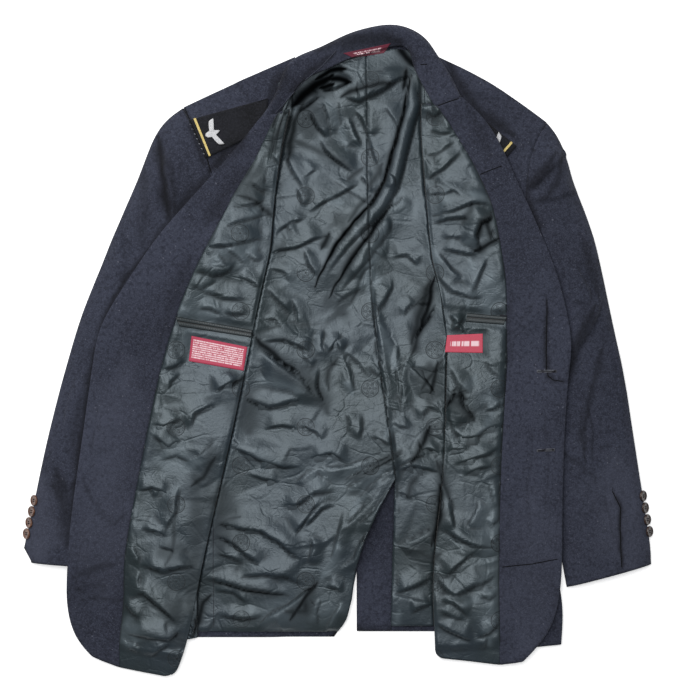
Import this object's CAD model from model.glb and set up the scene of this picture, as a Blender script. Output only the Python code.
"""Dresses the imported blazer: each cut piece becomes a smooth, creased cloth of its own material.

Every path, fold and label below is in mm, in the plan of the blazer as it lies.
"""

import math
from collections import defaultdict, namedtuple
from functools import partialmethod

import bmesh
import bpy
import numpy as np
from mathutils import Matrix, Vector
from mathutils.bvhtree import BVHTree


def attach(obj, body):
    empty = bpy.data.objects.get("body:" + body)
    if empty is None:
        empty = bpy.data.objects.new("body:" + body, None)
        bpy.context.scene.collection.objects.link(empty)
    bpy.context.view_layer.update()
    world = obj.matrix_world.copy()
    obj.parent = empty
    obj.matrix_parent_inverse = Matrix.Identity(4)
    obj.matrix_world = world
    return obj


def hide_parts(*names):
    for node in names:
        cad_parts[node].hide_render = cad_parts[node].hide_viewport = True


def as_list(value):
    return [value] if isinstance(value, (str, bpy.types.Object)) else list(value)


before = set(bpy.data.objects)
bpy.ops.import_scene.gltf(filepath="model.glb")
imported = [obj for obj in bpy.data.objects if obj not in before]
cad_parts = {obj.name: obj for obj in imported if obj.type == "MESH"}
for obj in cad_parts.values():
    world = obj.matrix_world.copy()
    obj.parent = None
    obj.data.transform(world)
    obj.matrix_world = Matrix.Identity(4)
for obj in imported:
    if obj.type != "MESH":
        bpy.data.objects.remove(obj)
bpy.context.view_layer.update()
MM = 0.001

# ---------------------------------------------------------------- lines of the layout, mm
# Rows down the turned-back part of each front: y, x of the inner fold, x of the border
# between lining and facing, x of the front edge or roll line.
Strip = namedtuple("Strip", "y fold border edge")
STRIPS = {side: [Strip(*row) for row in rows] for side, rows in {
    "right": [
        (324, -61, -81, -103), (284, -72, -97, -126), (245, -80, -115, -158),
        (206, -85, -139, -190), (170, -88, -159, -224), (137, -90, -176, -251),
        (93, -101, -198, -279), (57, -109, -213, -305), (20, -116, -225, -323),
        (-22, -124, -238, -329), (-119, -144, -258, -343), (-232, -170, -280, -360),
        (-291, -183, -289, -363), (-332, -191, -288, -367), (-366, -198, -292, -364),
        (-402, -208, -296, -354), (-427, -221, -296, -333),
    ],
    "left": [
        (333, 111, 132, 166), (312, 111, 146, 185), (286, 112, 161, 205), (251, 115, 181, 223),
        (220, 117, 196, 236), (192, 120, 208, 251), (156, 123, 215, 269), (121, 127, 221, 285),
        (82, 138, 227, 300), (16, 148, 227, 315), (-17, 146, 228, 310), (-150, 144, 219, 302),
        (-250, 132, 217, 302), (-301, 128, 217, 302), (-343, 128, 217, 297), (-380, 130, 218, 286),
        (-420, 131, 219, 251),
    ],
}.items()}
SIGN = {"right": -1, "left": 1}  # which way each front's edge lies from its fold
# The centre back seam and, below it, each half's edge at the vent: y, x, mm.
CENTRE_BACK = [(-173, 77), (68, 45), (202, 40), (401, 38)]
VENT_LAP = [(-387, -5), (-364, 11), (-336, 18), (-292, 24), (-256, 35), (-208, 57)]
VENT_FACING = [(-378, 72), (-335, 73), (-288, 74), (-235, 76)]
BACK_EDGES = {"back_lining_right": (VENT_LAP + CENTRE_BACK, 1),
              "back_lining_left": (VENT_FACING + CENTRE_BACK, -1)}
# Corners of the folded fronts: where, the ways along the two sides, and the radius, mm.
Corner = namedtuple("Corner", "x y first second radius")
CORNERS = [
    Corner(-223, -442, (0.40, 1), (-1, 0.19), 14),
    Corner(132, -414.5, (0.05, 1), (1, -0.11), 10),
]
HEM = [(-300, -408), (-200, -424), (130, -410), (220, -404)]  # of the fronts' linings: x, y
BACK_TOP, BACK_HEM = 398, -386  # y of the back's open lining, under the collar and at the hem


def rows_of(kind):
    """Reads flat rows: the two measures of a form, then x and y of each point of its path."""
    return lambda rows: [kind([*zip(row[2::2], row[3::2])], *row[:2]) for row in rows]


# Folds of the satin: how high a fold's crest stands, how wide its long upper flank is, and the
# line that its steep lower flank follows. A negative width turns the fold over.
Fold = namedtuple("Fold", "path height width")
fold_rows = rows_of(Fold)
BACK_FOLDS = fold_rows([
    # the pull towards the top of the vent
    (6, 10, 76,-140, 45,-157, 9,-172), (5, 9, 74,-162, 40,-170, 6,-190),
    (5, 9, 74,-168, 46,-198, 14,-232, -8,-258), (4, 8, 76,-172, 60,-200, 40,-240),
    (5, 9, 80,-163, 105,-157, 138,-166), (5, 9, 80,-158, 100,-148, 124,-140),
    (4, 9, 60,-150, 30,-148, -10,-160, -40,-158), (4, 8, 46,66, 54,6, 62,-64),
    (3, 7, 56,40, 62,-10, 70,-62), (3, 7, 78,0, 80,-40, 78,-70), (4, 9, 96,4, 84,-40, 84,-96),
    (3, 8, 60,-66, 68,-80, 88,-84),
    # under the collar
    (10, 15, 2,342, 28,334, 64,353, 103,374), (7, 11, -24,350, -4,353, 20,366),
    (6, 10, -58,322, -44,330, -22,343), (7, 12, -42,326, -30,300, -12,282),
    (5, 10, -22,338, -14,306, -6,286), (3, 9, -2,338, 2,316, 6,296),
    (7, -11, 12,320, 22,296, 34,274), (5, 11, 20,326, 34,306, 44,280),
    (3, 10, 40,296, 48,264, 56,244), (7, 15, -30,286, -16,268, 0,254, 26,236),
    (4, 10, 28,236, 38,224, 44,206), (4, 11, -76,268, -60,240, -44,214),
    (3, 9, -58,222, -52,206, -46,190), (6, 13, -40,184, -10,204, 32,226),
    (3, 10, -66,232, -40,236, -20,246), (3, 10, -20,262, 0,274, 24,276),
    (3, 10, 60,330, 76,312, 84,296), (5, -10, 60,246, 74,230, 78,214),
    (3, 10, 92,210, 82,196, 66,188), (4, -10, 52,120, 38,108, 28,88),
    # middle, wearer's right
    (7, 15, -95,128, -60,137, -34,150, -8,157), (4, 11, -88,152, -62,172, -38,178),
    (3, 9, -84,176, -70,166, -56,148), (4, 9, -48,140, -40,112, -26,98),
    (3, 10, -95,112, -74,104, -62,88), (5, 13, -100,84, -80,62, -62,46),
    (4, 10, -66,74, -54,48, -56,26), (4, 9, -102,42, -88,40, -78,28, -86,16),
    (7, 14, -104,12, -72,12, -50,6, -30,-6), (10, -17, -106,4, -76,-20, -46,-40, -20,-78),
    (4, 10, -72,-34, -48,-42, -32,-58), (3, 7, -50,-4, -38,-14, -32,-22),
    (5, 8, -16,-4, -4,12, 4,-4), (4, -10, -22,30, -20,8, -12,-6),
    (5, -14, -24,-22, -26,-48, -20,-76), (4, -11, 4,-2, 18,-30, 23,-64),
    (3, 10, 0,2, 24,-16, 46,-38), (3, 11, 26,-8, 50,-30, 78,-46), (3, 12, -8,62, 20,76, 44,88),
    (4, 11, 46,46, 62,62, 74,84, 76,98), (3, 9, 86,42, 98,58, 108,62),
    (4, 11, 70,122, 92,128, 110,112), (3, 10, 34,140, 50,132, 64,122),
    (3, 10, 48,46, 54,0, 62,-52, 66,-92), (3, -8, 80,10, 81,-20, 77,-52),
    (3, 8, 82,-18, 94,-26, 104,-32),
    # middle, lower
    (6, 14, -132,-60, -92,-80, -56,-70, -38,-58), (4, 11, -102,-106, -76,-104, -54,-109),
    (3, 10, -56,-104, -30,-110, -18,-124), (3, 9, -98,-144, -64,-146),
    (5, 12, -40,-146, -10,-139, 16,-152), (4, -8, -24,-157, -4,-156, 14,-152),
    (7, 16, -146,-128, -112,-146, -72,-160, -44,-160), (4, 12, -124,-166, -104,-176, -74,-180),
    (4, 11, -26,-158, -44,-168, -62,-180), (4, 9, 10,-84, 18,-98, 14,-112),
    (4, -9, 30,-84, 34,-104, 30,-124), (4, 10, 44,-116, 58,-124, 72,-132),
    (3, 10, 70,-96, 84,-104, 100,-102),
    # pulls that run out of the top of the vent
    (8, 12, 100,-134, 70,-149, 40,-164, 8,-173), (6, 10, 90,-152, 60,-169, 34,-196),
    (6, 11, 76,-164, 46,-188, 22,-202), (7, 13, 70,-184, 48,-214, 16,-244),
    (6, 10, 58,-206, 38,-246, 20,-280, -2,-302), (7, 14, -82,-212, -54,-209, -30,-194, 0,-186),
    (7, 13, -66,-256, -50,-240, -30,-214, -8,-196), (5, 9, -46,-242, -20,-214, -2,-206),
    (6, -9, -42,-288, -34,-266, -38,-250), (5, 12, 6,-214, -2,-250, -10,-290),
    # lower, towards the side seam
    (9, 17, -168,-234, -140,-240, -104,-245, -80,-262, -44,-289),
    (7, 14, -166,-250, -140,-262, -114,-286, -98,-300), (4, 10, -164,-276, -146,-280, -128,-286),
    (6, 14, -152,-309, -110,-308, -76,-304, -40,-316),
    (9, 13, -188,-308, -150,-318, -128,-325, -64,-332), (4, 11, -172,-326, -142,-330, -120,-346),
    (11, -18, -110,-376, -90,-356, -68,-345, -46,-326, -28,-315),
    (5, 10, -168,-358, -130,-366, -96,-358), (4, 8, -16,-317, -4,-322, 8,-327),
    (5, 12, 6,-336, -6,-356, -22,-384), (3, -9, -24,-330, -30,-352, -28,-376),
    # the wearer's left, beside the vent's facing
    (3, 9, 80,-190, 96,-198, 112,-196), (6, -12, 78,-262, 102,-255, 132,-239),
    (6, 13, 76,-330, 100,-321, 130,-309), (5, 10, 98,-354, 112,-348, 130,-341),
    (4, 9, 92,-150, 110,-162, 128,-158), (6, -12, 96,-20, 118,-40, 134,-62),
    (6, 12, 104,12, 118,36, 132,62), (4, 10, 108,-96, 122,-78, 140,-84),
    (5, 9, 104,-138, 124,-134, 138,-142),
])
# Places that little light reaches, under the collar, in the tightest folds and along the seams:
# how wide each is, how deep in shade, and its path. They are listed by slot or by piece.
Hollow = namedtuple("Hollow", "path width depth")
hollow_rows = rows_of(Hollow)
HOLLOWS = {
    "lining": hollow_rows([
        (15, 1, -60,330, -46,344, -28,358, -8,370), (9, 1, -24,352, -6,358),
        (6, 0.9, 92,380, 88,352),
        (4.2, 0.95, 99,372, 92,340, 86,310, 76,272, 63,228, 46,197, 22,174, 1,146, -17,117, -32,84),
        (4.8, 0.85, 74,196, 64,184, 44,156, 18,122, -1,92, -12,70),
        (1.2, 0.5, 84,-226, 77,-173, 45,68, 40,202, 38,401, 37,460),
        (6, 0.3, -6,288, -22,264, 2,252), (13, 0.5, -88,-4, -62,-26, -40,-40, -22,-66, -14,-84),
        (10, 0.7, -45,-330, -45,-352, -70,-352), (5, 0.5, -160,-316, -110,-326, -66,-332),
        (5, 0.6, 84,-136, 46,-164, 12,-174), (8, 0.75, 124,92, 112,55, 100,8),
        (6, 0.7, 140,-14, 126,-34, 112,-54), (7, 0.75, 146,-74, 157,-60, 174,-66),
        (5, 0.5, 140,-145, 136,-200, 133,-236), (4, 0.3, -166,36, -110,22, -60,12),
        (6, 0.5, 130,60, 108,20), (7, 0.6, 146,-60, 166,-76, 184,-98),
        (6, 0.7, 206,180, 192,168, 188,150), (12, 0.4, 86,-268, 106,-280, 124,-262),
        (9, 0.5, -218,-380, -208,-402), (14, 0.42, -192,-170, -188,-262, -200,-352),
        (8, 0.3, -170,-120, -176,-180, -182,-240), (5, 0.6, -92,262, -76,300, -68,316),
        (8, 1, -14,366, 4,364, 18,362), (7, 1, -30,366, -10,376, 12,380),
        (6, 0.8, 4,342, 18,350, 46,355, 74,360), (6, 0.8, -22,136, -16,147, -11,158),
        (5, 0.85, 124,-101, 116,-123, 98,-154), (7, 0.85, 138,-178, 136,-222, 127,-264),
        (6, 0.85, -116,22, -104,8, -78,-12, -52,-32), (7, 0.9, 80,412, 92,394, 104,382),
        (5, 0.85, 184,131, 199,140, 216,150), (4.5, 0.7, -136,208, -120,203, -98,192),
        (5, 0.75, -36,352, -55,317, -62,292, -68,256), (4, 0.6, 12,228, 24,238, 34,246),
        (4, 0.6, 12,172, 26,190, 44,208), (5, 0.75, 114,40, 107,12, 98,-8),
        (5, 0.8, 134,-16, 130,-42, 122,-60), (4.5, 0.75, -150,-50, -138,-46, -124,-32),
        (4.5, 0.75, 205,146, 201,166, 205,184), (4.5, 0.55, -232,-288, -223,-270, -219,-230),
        (4, 0.65, -2,-12, -14,-28, -13,-54), (6, 0.85, -28,-314, -42,-330, -66,-364),
        (4, 0.65, 108,-169, 97,-185, 92,-199), (4, 0.55, -172,-248, -150,-228, -132,-225),
        (6, 0.8, -190,-376, -183,-340, -170,-330), (5, 0.7, -104,192, -94,187, -88,178),
        (5, 0.9, 129,98, 121,58, 110,26), (4.5, 0.55, -66,286, -30,271, 20,244),
        (5, 0.6, 60,250, 54,240, 40,216), (5, 0.75, -198,-182, -182,-172, -164,-144),
        (5, 0.7, 133,-150, 144,-184, 153,-208), (6, 0.6, 110,-272, 126,-280, 138,-274),
        (4, 0.5, 178,197, 177,184, 166,168), (4, 0.75, -76,324, -82,312, -88,296),
        # Broad parts of the satin that face away from the light.
        (16, 0.4, -16,70, -6,62), (15, 0.3, -256,-336, -250,-344), (24, 0.5, 0,58, 8,50),
        (24, 0.49, -38,336, -38,292), (20, 0.38, -120,254, -119,216, -158,214),
        (20, 0.46, 124,-20, 124,-70), (22, 0.49, -119,-64, -119,-110),
        (24, 0.49, -159,-185, -159,-275), (20, 0.34, -238,-272, -205,-270),
        (23, 0.38, -236,-350, -204,-352), (22, 0.38, -80,136, -74,134), (22, 0.38, 2,178, 6,172),
    ]),
    "wool": hollow_rows([
        (8, 0.6, -69,378, -84,352, -96,330), (8, 0.7, -122,288, -150,266, -172,240),
        (3, 0.6, -206,322, -190,276, -172,236), (12, 0.6, -30,402, -8,412, 20,418, 60,422, 84,414),
        (7, 0.55, -64,348, -34,376, -4,400), (5, 0.5, 96,350, 100,366, 102,388, 94,408),
    ]),
    "topsleeve_right": hollow_rows([
        (6, 0.85, -243,290, -236,240, -230,200, -222,160), (3.5, 0.6, -228,262, -222,226, -216,196),
        (6, 0.7, -222,200, -212,182, -208,170),
        (8, 0.6, -170,240, -196,208, -219,179, -242,150, -262,112),
        (9, 0.3, -262,250, -258,190, -262,130),
        (6, 0.75, -242,150, -286,94, -308,55, -326,-2, -335,-61, -344,-120, -353,-180, -360,-240),
        (8, 0.35, -345,-60, -352,-120, -350,-180),
        (11, 0.55, -380,-160, -367,-200, -362,-238, -364,-264),
    ]),
    "facing_right": hollow_rows([
        (3.5, 0.3, -345,-168, -324,-212, -300,-235, -285,-220),
        (4, 0.45, -356,-306, -338,-298, -316,-290, -294,-287),
        (3, 0.3, -354,-320, -330,-317, -306,-322), (3.5, 0.35, -336,-334, -312,-336, -288,-338),
        (12, 0.35, -118,244, -150,210, -176,168), (10, 0.25, -200,120, -222,60, -240,0),
    ]),
    "facing_left": hollow_rows([
        (3.6, 0.7, 279.5,67, 279.5,-26, 282,-35, 288,-40, 302,-42),
        (5, 0.3, 232,66, 226,30, 232,-20), (7, 0.25, 170,330, 186,300, 204,260),
        (2, 0.3, 228,-292, 260,-288, 292,-282),
    ]),
    "front_left": hollow_rows([(9, 0.65, 146,392, 169,348, 188,323, 238,288)]),
    "back_left": hollow_rows([(9, 0.65, 140,400, 169,348, 188,323)]),
    "topsleeve_left": hollow_rows([
        (9, 0.75, 226,256, 240,270, 264,268), (6, 0.7, 229,254, 240,236, 252,212, 259,194, 272,150),
        (8, 0.65, 250,212, 264,226, 279,245, 293,264),
        (4.5, 0.55, 258,196, 277,205, 293,222, 301,250, 303,272),
        (7, 0.65, 347,62, 332,34, 316,3, 303,-60),
        (6, 0.5, 357,6, 347,-30, 336,-77, 328,-112, 333,-152),
        (3, 0.7, 369,-188, 380,-212, 379,-242, 382,-294), (4, 0.35, 296,-136, 320,-150, 346,-172),
        (6, 0.4, 296,100, 290,40, 300,-20), (6, 0.4, 330,150, 344,96, 352,66),
    ]),
}
# Facets of the satin that catch the light, and parts of the wool whose nap does, in the same way.
LIGHTS = {
    "facing_right": hollow_rows([(44, 0.14, -282,-20, -305,-160, -318,-330)]),
    "facing_left": hollow_rows([(44, 0.1, 262,-200, 262,-300, 256,-400)]),
    "topsleeve_right": hollow_rows([(34, 0.22, -402,-180, -404,-275)]),
    "topsleeve_left": hollow_rows([(42, 0.16, 372,-150, 396,-290)]),
    "lining": hollow_rows([
        (6, 0.9, 18,-226, 38,-182, 64,-156), (7, 0.85, -214,50, -197,49, -162,47),
        (6, 0.85, 176,210, 194,202, 206,198), (7, 0.8, 66,172, 57,146, 44,120, 30,84),
        (5, 0.6, 22,164, 28,156, 32,146), (7, 0.8, 2,-259, -2,-278, -22,-308),
        (6, 0.75, 56,32, 66,10, 78,-26), (6, 0.75, 126,140, 134,112, 144,98),
        (6, 0.75, 185,-319, 198,-306, 206,-295), (6, 0.75, -206,-166, -192,-150, -178,-150),
        (7, 0.7, -182,46, -204,16, -213,-8), (6, 0.75, -112,-40, -84,-43, -46,-56),
        (6, 0.7, 178,122, 184,90, 174,58), (5, 0.6, 192,64, 198,54, 202,42),
        (6, 0.7, 186,-112, 197,-106, 211,-82), (6, 0.7, -122,168, -114,181, -107,190),
        (7, 0.7, -172,112, -155,126, -144,136), (6, 0.6, -190,84, -180,82, -168,80),
        (7, 0.6, 78,-376, 80,-366, 82,-350), (5, 0.65, -14,194, -11,204, 6,199),
        (6, 0.65, 62,-116, 70,-110, 80,-100), (5, 0.65, 4,-169, 28,-162, 46,-158),
        (6, 0.6, 168,144, 178,144, 184,138), (6, 0.65, 168,-52, 177,-46, 186,-36),
        (6, 0.6, -14,338, -4,314, 12,272), (5, 0.6, 8,-44, 15,-50, 20,-62),
        (6, 0.6, -114,-136, -96,-146, -78,-154), (6, 0.6, 166,-344, 176,-341, 192,-330),
        # Broad parts of the satin that face the light.
        (20, 0.5, 132,204, 144,200), (29, 0.6, -205,54, -162,56), (24, 0.64, -140,132, -112,136),
        (24, 0.78, 36,95, 50,95), (22, 0.46, 84,175, 84,214), (18, 0.78, 204,100, 204,50),
        (17, 0.55, 205,-60, 205,-74), (17, 0.6, 205,-190, 205,-300, 204,-395),
        (26, 0.62, -240,-146, -200,-150), (24, 0.55, -40,-165, 10,-185, 44,-150),
        (24, 0.55, -112,-352, -50,-352, 4,-350), (22, 0.6, -284,-366, -280,-396),
        (24, 0.46, -70,96, -36,96),
    ]),
}

FRONT_FOLDS = {
    "right": fold_rows([
        (3, 9, -92,262, -82,250, -74,230), (3, 10, -118,226, -100,214, -88,218),
        (4, 12, -140,190, -116,192, -92,204), (4, 11, -158,166, -128,170, -96,182),
        (6, 14, -182,137, -150,138, -98,152), (3, 9, -150,136, -134,126, -122,112),
        (6, 13, -198,106, -170,98, -146,106, -134,118), (4, 9, -202,88, -182,84, -160,94),
        (4, 11, -186,84, -152,70, -120,66), (4, 8, -188,54, -172,56, -156,50),
        (4, 8, -156,54, -144,50, -120,50), (4, 9, -136,96, -120,92, -104,80),
        (3, 9, -128,134, -112,122, -98,126), (4, 9, -238,-26, -222,-23, -204,-14),
        (3, 8, -228,-54, -224,-42, -212,-30), (6, 12, -172,-56, -152,-46, -130,-38),
        (5, 12, -198,-106, -192,-86, -164,-74), (5, 10, -252,-98, -232,-106, -206,-88),
        (5, 12, -252,-112, -226,-130, -206,-118), (3, 10, -240,-150, -216,-142, -190,-152),
        (5, 11, -272,-188, -250,-184, -226,-194), (3, 8, -246,-170, -250,-186, -246,-200),
        (6, -14, -214,-178, -218,-220, -236,-252), (3, 12, -162,-120, -184,-140, -206,-150),
        (5, 11, -268,-238, -246,-244, -226,-250), (4, -9, -276,-262, -268,-278, -270,-292),
        (3, 9, -240,-262, -222,-268, -210,-284), (9, 15, -272,-291, -232,-296, -188,-290),
        (4, -10, -268,-296, -268,-316, -256,-330),
        (7, 14, -286,-324, -262,-330, -236,-350, -212,-372),
        (5, 10, -290,-340, -278,-354, -266,-364), (4, 10, -252,-330, -230,-342, -208,-346),
        (7, 13, -292,-381, -256,-386, -228,-391, -206,-376),
        (5, 11, -264,-426, -242,-406, -224,-394), (3, 9, -288,-400, -272,-410, -262,-404),
    ]),
    "left": fold_rows([
        (4, 9, 112,324, 126,315, 142,322), (3, 9, 120,296, 138,288, 158,290),
        (3, 10, 116,262, 138,266, 160,280), (5, 12, 116,226, 140,241, 166,266),
        (3, 9, 122,232, 150,216, 176,200), (3, 10, 120,206, 144,208, 170,224),
        (7, 13, 118,180, 156,186, 182,197, 208,194), (5, 11, 122,169, 148,176, 170,177, 186,165),
        (10, -13, 210,182, 192,170, 186,152, 192,132), (3, 9, 134,150, 160,148, 182,152),
        (4, 9, 136,136, 164,130, 190,130), (6, -12, 132,134, 154,110, 176,94),
        (6, -13, 204,126, 190,100, 176,74), (5, 11, 128,102, 152,80, 178,72, 196,72),
        (8, 11, 150,50, 162,33, 178,46), (5, -7, 152,24, 160,38, 172,30),
        (3, 10, 196,-10, 206,-30, 222,-38), (4, 12, 148,-24, 158,-46, 178,-58),
        (10, -15, 146,-58, 160,-53, 168,-74, 186,-100), (5, 10, 152,-72, 150,-92, 162,-112),
        (7, 13, 150,-99, 166,-120, 186,-118, 204,-104, 222,-96), (4, 9, 196,-84, 212,-80, 222,-66),
        (5, 9, 146,-138, 162,-136, 180,-132), (6, 12, 152,-158, 172,-151, 200,-140, 218,-128),
        (4, 10, 166,-172, 192,-160, 208,-156), (3, 9, 200,-176, 208,-198, 214,-216),
        (6, -13, 148,-196, 155,-234, 160,-250), (4, 11, 188,-200, 182,-222, 172,-240),
        (7, 14, 138,-238, 160,-256, 192,-265, 216,-268), (4, 8, 202,-238, 212,-230, 220,-228),
        (6, 13, 142,-310, 160,-290, 186,-270), (4, 9, 200,-250, 212,-264, 218,-282),
        (8, 14, 128,-308, 146,-325, 160,-332, 196,-312, 216,-298),
        (6, 11, 136,-336, 156,-341, 176,-358), (4, 8, 134,-350, 154,-358, 174,-363),
        (3, 9, 186,-330, 204,-334, 216,-326), (8, 14, 130,-368, 156,-382, 184,-393),
        (5, 11, 186,-386, 202,-382, 218,-368), (3, -8, 202,-384, 198,-400, 196,-414),
        (3, 9, 146,-400, 164,-408, 184,-404),
    ]),
}

# ---------------------------------------------------------------- fields over the layout
def eased(share):
    """0 below 0, 1 above 1, smooth between."""
    share = np.clip(share, 0, 1)
    return share * share * (3 - 2 * share)


def line_x(side, kind, y):
    """x of one of the lines of the turned-back part of a front, at heights y."""
    rows = sorted(STRIPS[side])
    return np.interp(y, [row.y for row in rows], [getattr(row, kind) for row in rows])


def line_at(line, y):
    """x of a line, given as rows of y and x, at these heights."""
    return np.interp(y, *zip(*line))


def beyond(points, side, kind):
    """How far each point lies past one of the lines of a front, towards the front's edge."""
    return SIGN[side] * (points[:, 0] - line_x(side, kind, points[:, 1]))


def between_folds(points):
    """How far each point lies inside the inner folds of both fronts."""
    return -np.maximum(beyond(points, "right", "fold"), beyond(points, "left", "fold"))


LATTICE = 64  # bumps of the noise before it comes round again


def lattice(points, size, seed):
    """Smooth noise from -1 to 1 at points in plan, with bumps about this size across."""
    table = np.random.RandomState(seed).uniform(-1, 1, (LATTICE, LATTICE))
    scaled = np.asarray(points, float) / size
    low = np.floor(scaled).astype(int)
    x, y = eased(scaled - low).T
    (i, j), (i1, j1) = low.T % LATTICE, (low + 1).T % LATTICE
    near = table[i, j] * (1 - x) + table[i1, j] * x
    far = table[i, j1] * (1 - x) + table[i1, j1] * x
    return near * (1 - y) + far * y


def warped(points, size, seed, amount):
    """The points, pushed about by noise, so that nothing made from them runs dead straight."""
    push = np.stack([lattice(points, size, seed), lattice(points, size, seed + 1)], axis=1)
    return points + amount * push


def facets(points, size, stretch, turn, seed):
    """Height from 0 to 1 of a crumpled sheet: flat facets of this size, meeting in sharp lines."""
    cos, sin = math.cos(turn), math.sin(turn)
    spun = np.stack([points[:, 0] * cos + points[:, 1] * sin,
                     points[:, 1] * cos - points[:, 0] * sin], axis=1)
    spun = warped(spun, size * 3.5, seed, size * 0.5) / (size * stretch, size)
    low = np.floor(spun.min(axis=0)).astype(int) - 2
    high = np.ceil(spun.max(axis=0)).astype(int) + 3
    wide, tall = high - low
    random = np.random.RandomState(seed)
    jitter = random.uniform(-0.42, 0.42, (wide, tall, 2))
    heights = random.uniform(0, 1, (wide, tall))
    grid = np.stack(np.meshgrid(range(wide), range(tall), indexing="ij"), axis=-1) + jitter + low
    corners = [(x, y, z) for (x, y), z in zip(grid.reshape(-1, 2), heights.ravel())]
    sheet = []
    for i in range(wide - 1):
        for j in range(tall - 1):
            k = i * tall + j
            other = random.rand() < 0.5
            sheet += [(k, k + tall, k + 1), (k + tall, k + tall + 1, k + 1)] if other else [
                (k, k + tall, k + tall + 1), (k, k + tall + 1, k + 1)]
    tree = BVHTree.FromPolygons(corners, sheet)
    down = Vector((0, 0, -1))
    found = (tree.ray_cast(Vector((x, y, 2)), down)[0] for x, y in spun)
    return np.fromiter((hit.z if hit else 0.5 for hit in found), float, len(points))


def run_of(path):
    """How far along a path each of its points is."""
    return np.concatenate([[0], np.cumsum(np.linalg.norm(np.diff(path, axis=0), axis=1))])


def beside_path(points, path):
    """For each point: how far it is from the path, on which side of it, and how far along."""
    path = np.array(path, float)
    ends = run_of(path)
    run = np.diff(ends)
    nearest = np.full(len(points), 1e9)
    side = np.zeros(len(points))
    along = np.zeros(len(points))
    for k, start in enumerate(path[:-1]):
        way = (path[k + 1] - start) / run[k]
        share = np.clip((points - start) @ way, 0, run[k])
        off = points - start - share[:, None] * way
        away = np.linalg.norm(off, axis=1)
        closer = away < nearest
        nearest[closer] = away[closer]
        side[closer] = np.sign((way[0] * off[:, 1] - way[1] * off[:, 0])[closer])
        along[closer] = (ends[k] + share[closer]) / ends[-1]
    return nearest, side, along


def tapered(along, start, end):
    """1 along the middle of a path, eased to 0 over these shares of it at its two ends."""
    return eased(along / start) * eased((1 - along) / end)


def fold_lift(points, folds):
    """Height of hand-placed folds at each point: a steep dark flank, a soft crest, a long back."""
    total = np.zeros(len(points))
    moved = warped(points, size=26, seed=7, amount=2.6)
    for fold in folds:
        nearest, side, along = beside_path(moved, fold.path)
        taper = tapered(along, start=0.32, end=0.32)
        width = abs(fold.width) * (0.35 + 0.65 * taper)
        offset = nearest * side * math.copysign(1, fold.width)
        rise = eased((offset + 0.5) / (1.1 + 0.1 * width))
        fall = 0.5 + 0.5 * np.cos(np.pi * np.clip((offset / width - 0.22) / 2.0, 0, 1))
        # Cubes let the highest of several folds prevail, without a line where they meet.
        total += (0.8 * fold.height * taper * rise * fall) ** 3
    return np.cbrt(total)


# Round tubes of loose satin: height, width and path. The crest lies to the left of the path,
# half a width from it.
Roll = namedtuple("Roll", "path height width")
ROLLS = rows_of(Roll)([
    (9, 19, 99,366, 92,340, 86,310, 77,272, 64,228, 47,198, 24,174, 2,146, -16,117, -32,84),
    (5, 17, 66,184, 46,156, 20,122, 0,92, -12,70),
])


def roll_lift(points):
    """Height of the rolls at each point."""
    total = np.zeros(len(points))
    moved = warped(points, size=30, seed=17, amount=2.0)
    for roll in ROLLS:
        nearest, side, along = beside_path(moved, roll.path)
        taper = tapered(along, start=0.12, end=0.45)
        width = roll.width * (0.45 + 0.55 * taper)
        across = np.clip(nearest * side / width, 0, 1)
        total += roll.height * taper * np.sqrt(np.clip(1 - (2 * across - 1) ** 2, 0, 1))
    return total


# Where a label or a pocket mouth keeps the satin flat: its corners, mm.
LABELS = {
    "care_label": [(-197, 19), (-122, 4), (-127, -28), (-201, -15)],
    "brand_label": [(147, 20), (195, 22), (195, -4), (144, -3)],
    "neck_label": [(7, 399), (71, 413), (62, 401), (19, 394)],
}
WELTS = {
    "pocket_welt_right": [(-218, 45), (-115, 27), (-117, 17), (-213, 32)],
    "pocket_welt_left": [(174, 50), (227, 45), (223, 34), (172, 38)],
}


def pressed(points):
    """1 on open satin, little on a label or a pocket mouth."""
    loose = np.ones(len(points))
    least, fade = 0.15, 11  # the little, and mm over which the satin comes loose beside it
    for corners in [*LABELS.values(), *WELTS.values()]:
        corners = np.array(corners, float)
        middle = corners.mean(axis=0)
        along = corners[1] + corners[2] - corners[0] - corners[3]
        along /= np.linalg.norm(along)
        across = np.array([-along[1], along[0]])
        half = [np.abs((corners - middle) @ way).max() for way in (along, across)]
        away = np.maximum(np.abs((points - middle) @ along) - half[0],
                          np.abs((points - middle) @ across) - half[1])
        loose = np.minimum(loose, least + (1 - least) * eased((away + 1) / fade))
    return loose


def hollow_depth(points, hollows):
    """How deep in shade each spot lies, from 0 to 1, or how well lit it is."""
    depth = np.zeros(len(points))
    points = warped(points, size=14, seed=27, amount=1.6)
    for hollow in hollows:
        away, _, along = beside_path(points, hollow.path)
        away = away / (0.35 + 0.65 * tapered(along, start=0.2, end=0.2))
        away = away / (1 + 0.35 * lattice(points, size=17, seed=33))
        depth = np.maximum(depth, hollow.depth * np.exp(-((away / hollow.width) ** 2)))
    return depth


def back_mask(points):
    """1 where the back's lining lies open, 0 under the turned-back fronts."""
    y = points[:, 1]
    ends = eased((BACK_TOP - y) / 24) * eased((y - BACK_HEM) / 12)
    return eased(between_folds(points) / 1.9) * ends


def front_mask(side):
    """For one front's lining: 1 on the open turned-back part, less at its fold and its border."""

    def mask(points):
        outer = -beyond(points, side, "border")
        hem = np.interp(points[:, 0], *zip(*HEM))
        edges = 0.1 + 0.4 * eased((outer + 1) / 3) + 0.5 * eased(outer / 8)
        edges *= 0.6 + 0.4 * eased(beyond(points, side, "fold") / 5)
        return edges * eased((points[:, 1] - hem) / 14) * pressed(points)

    return mask


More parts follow.
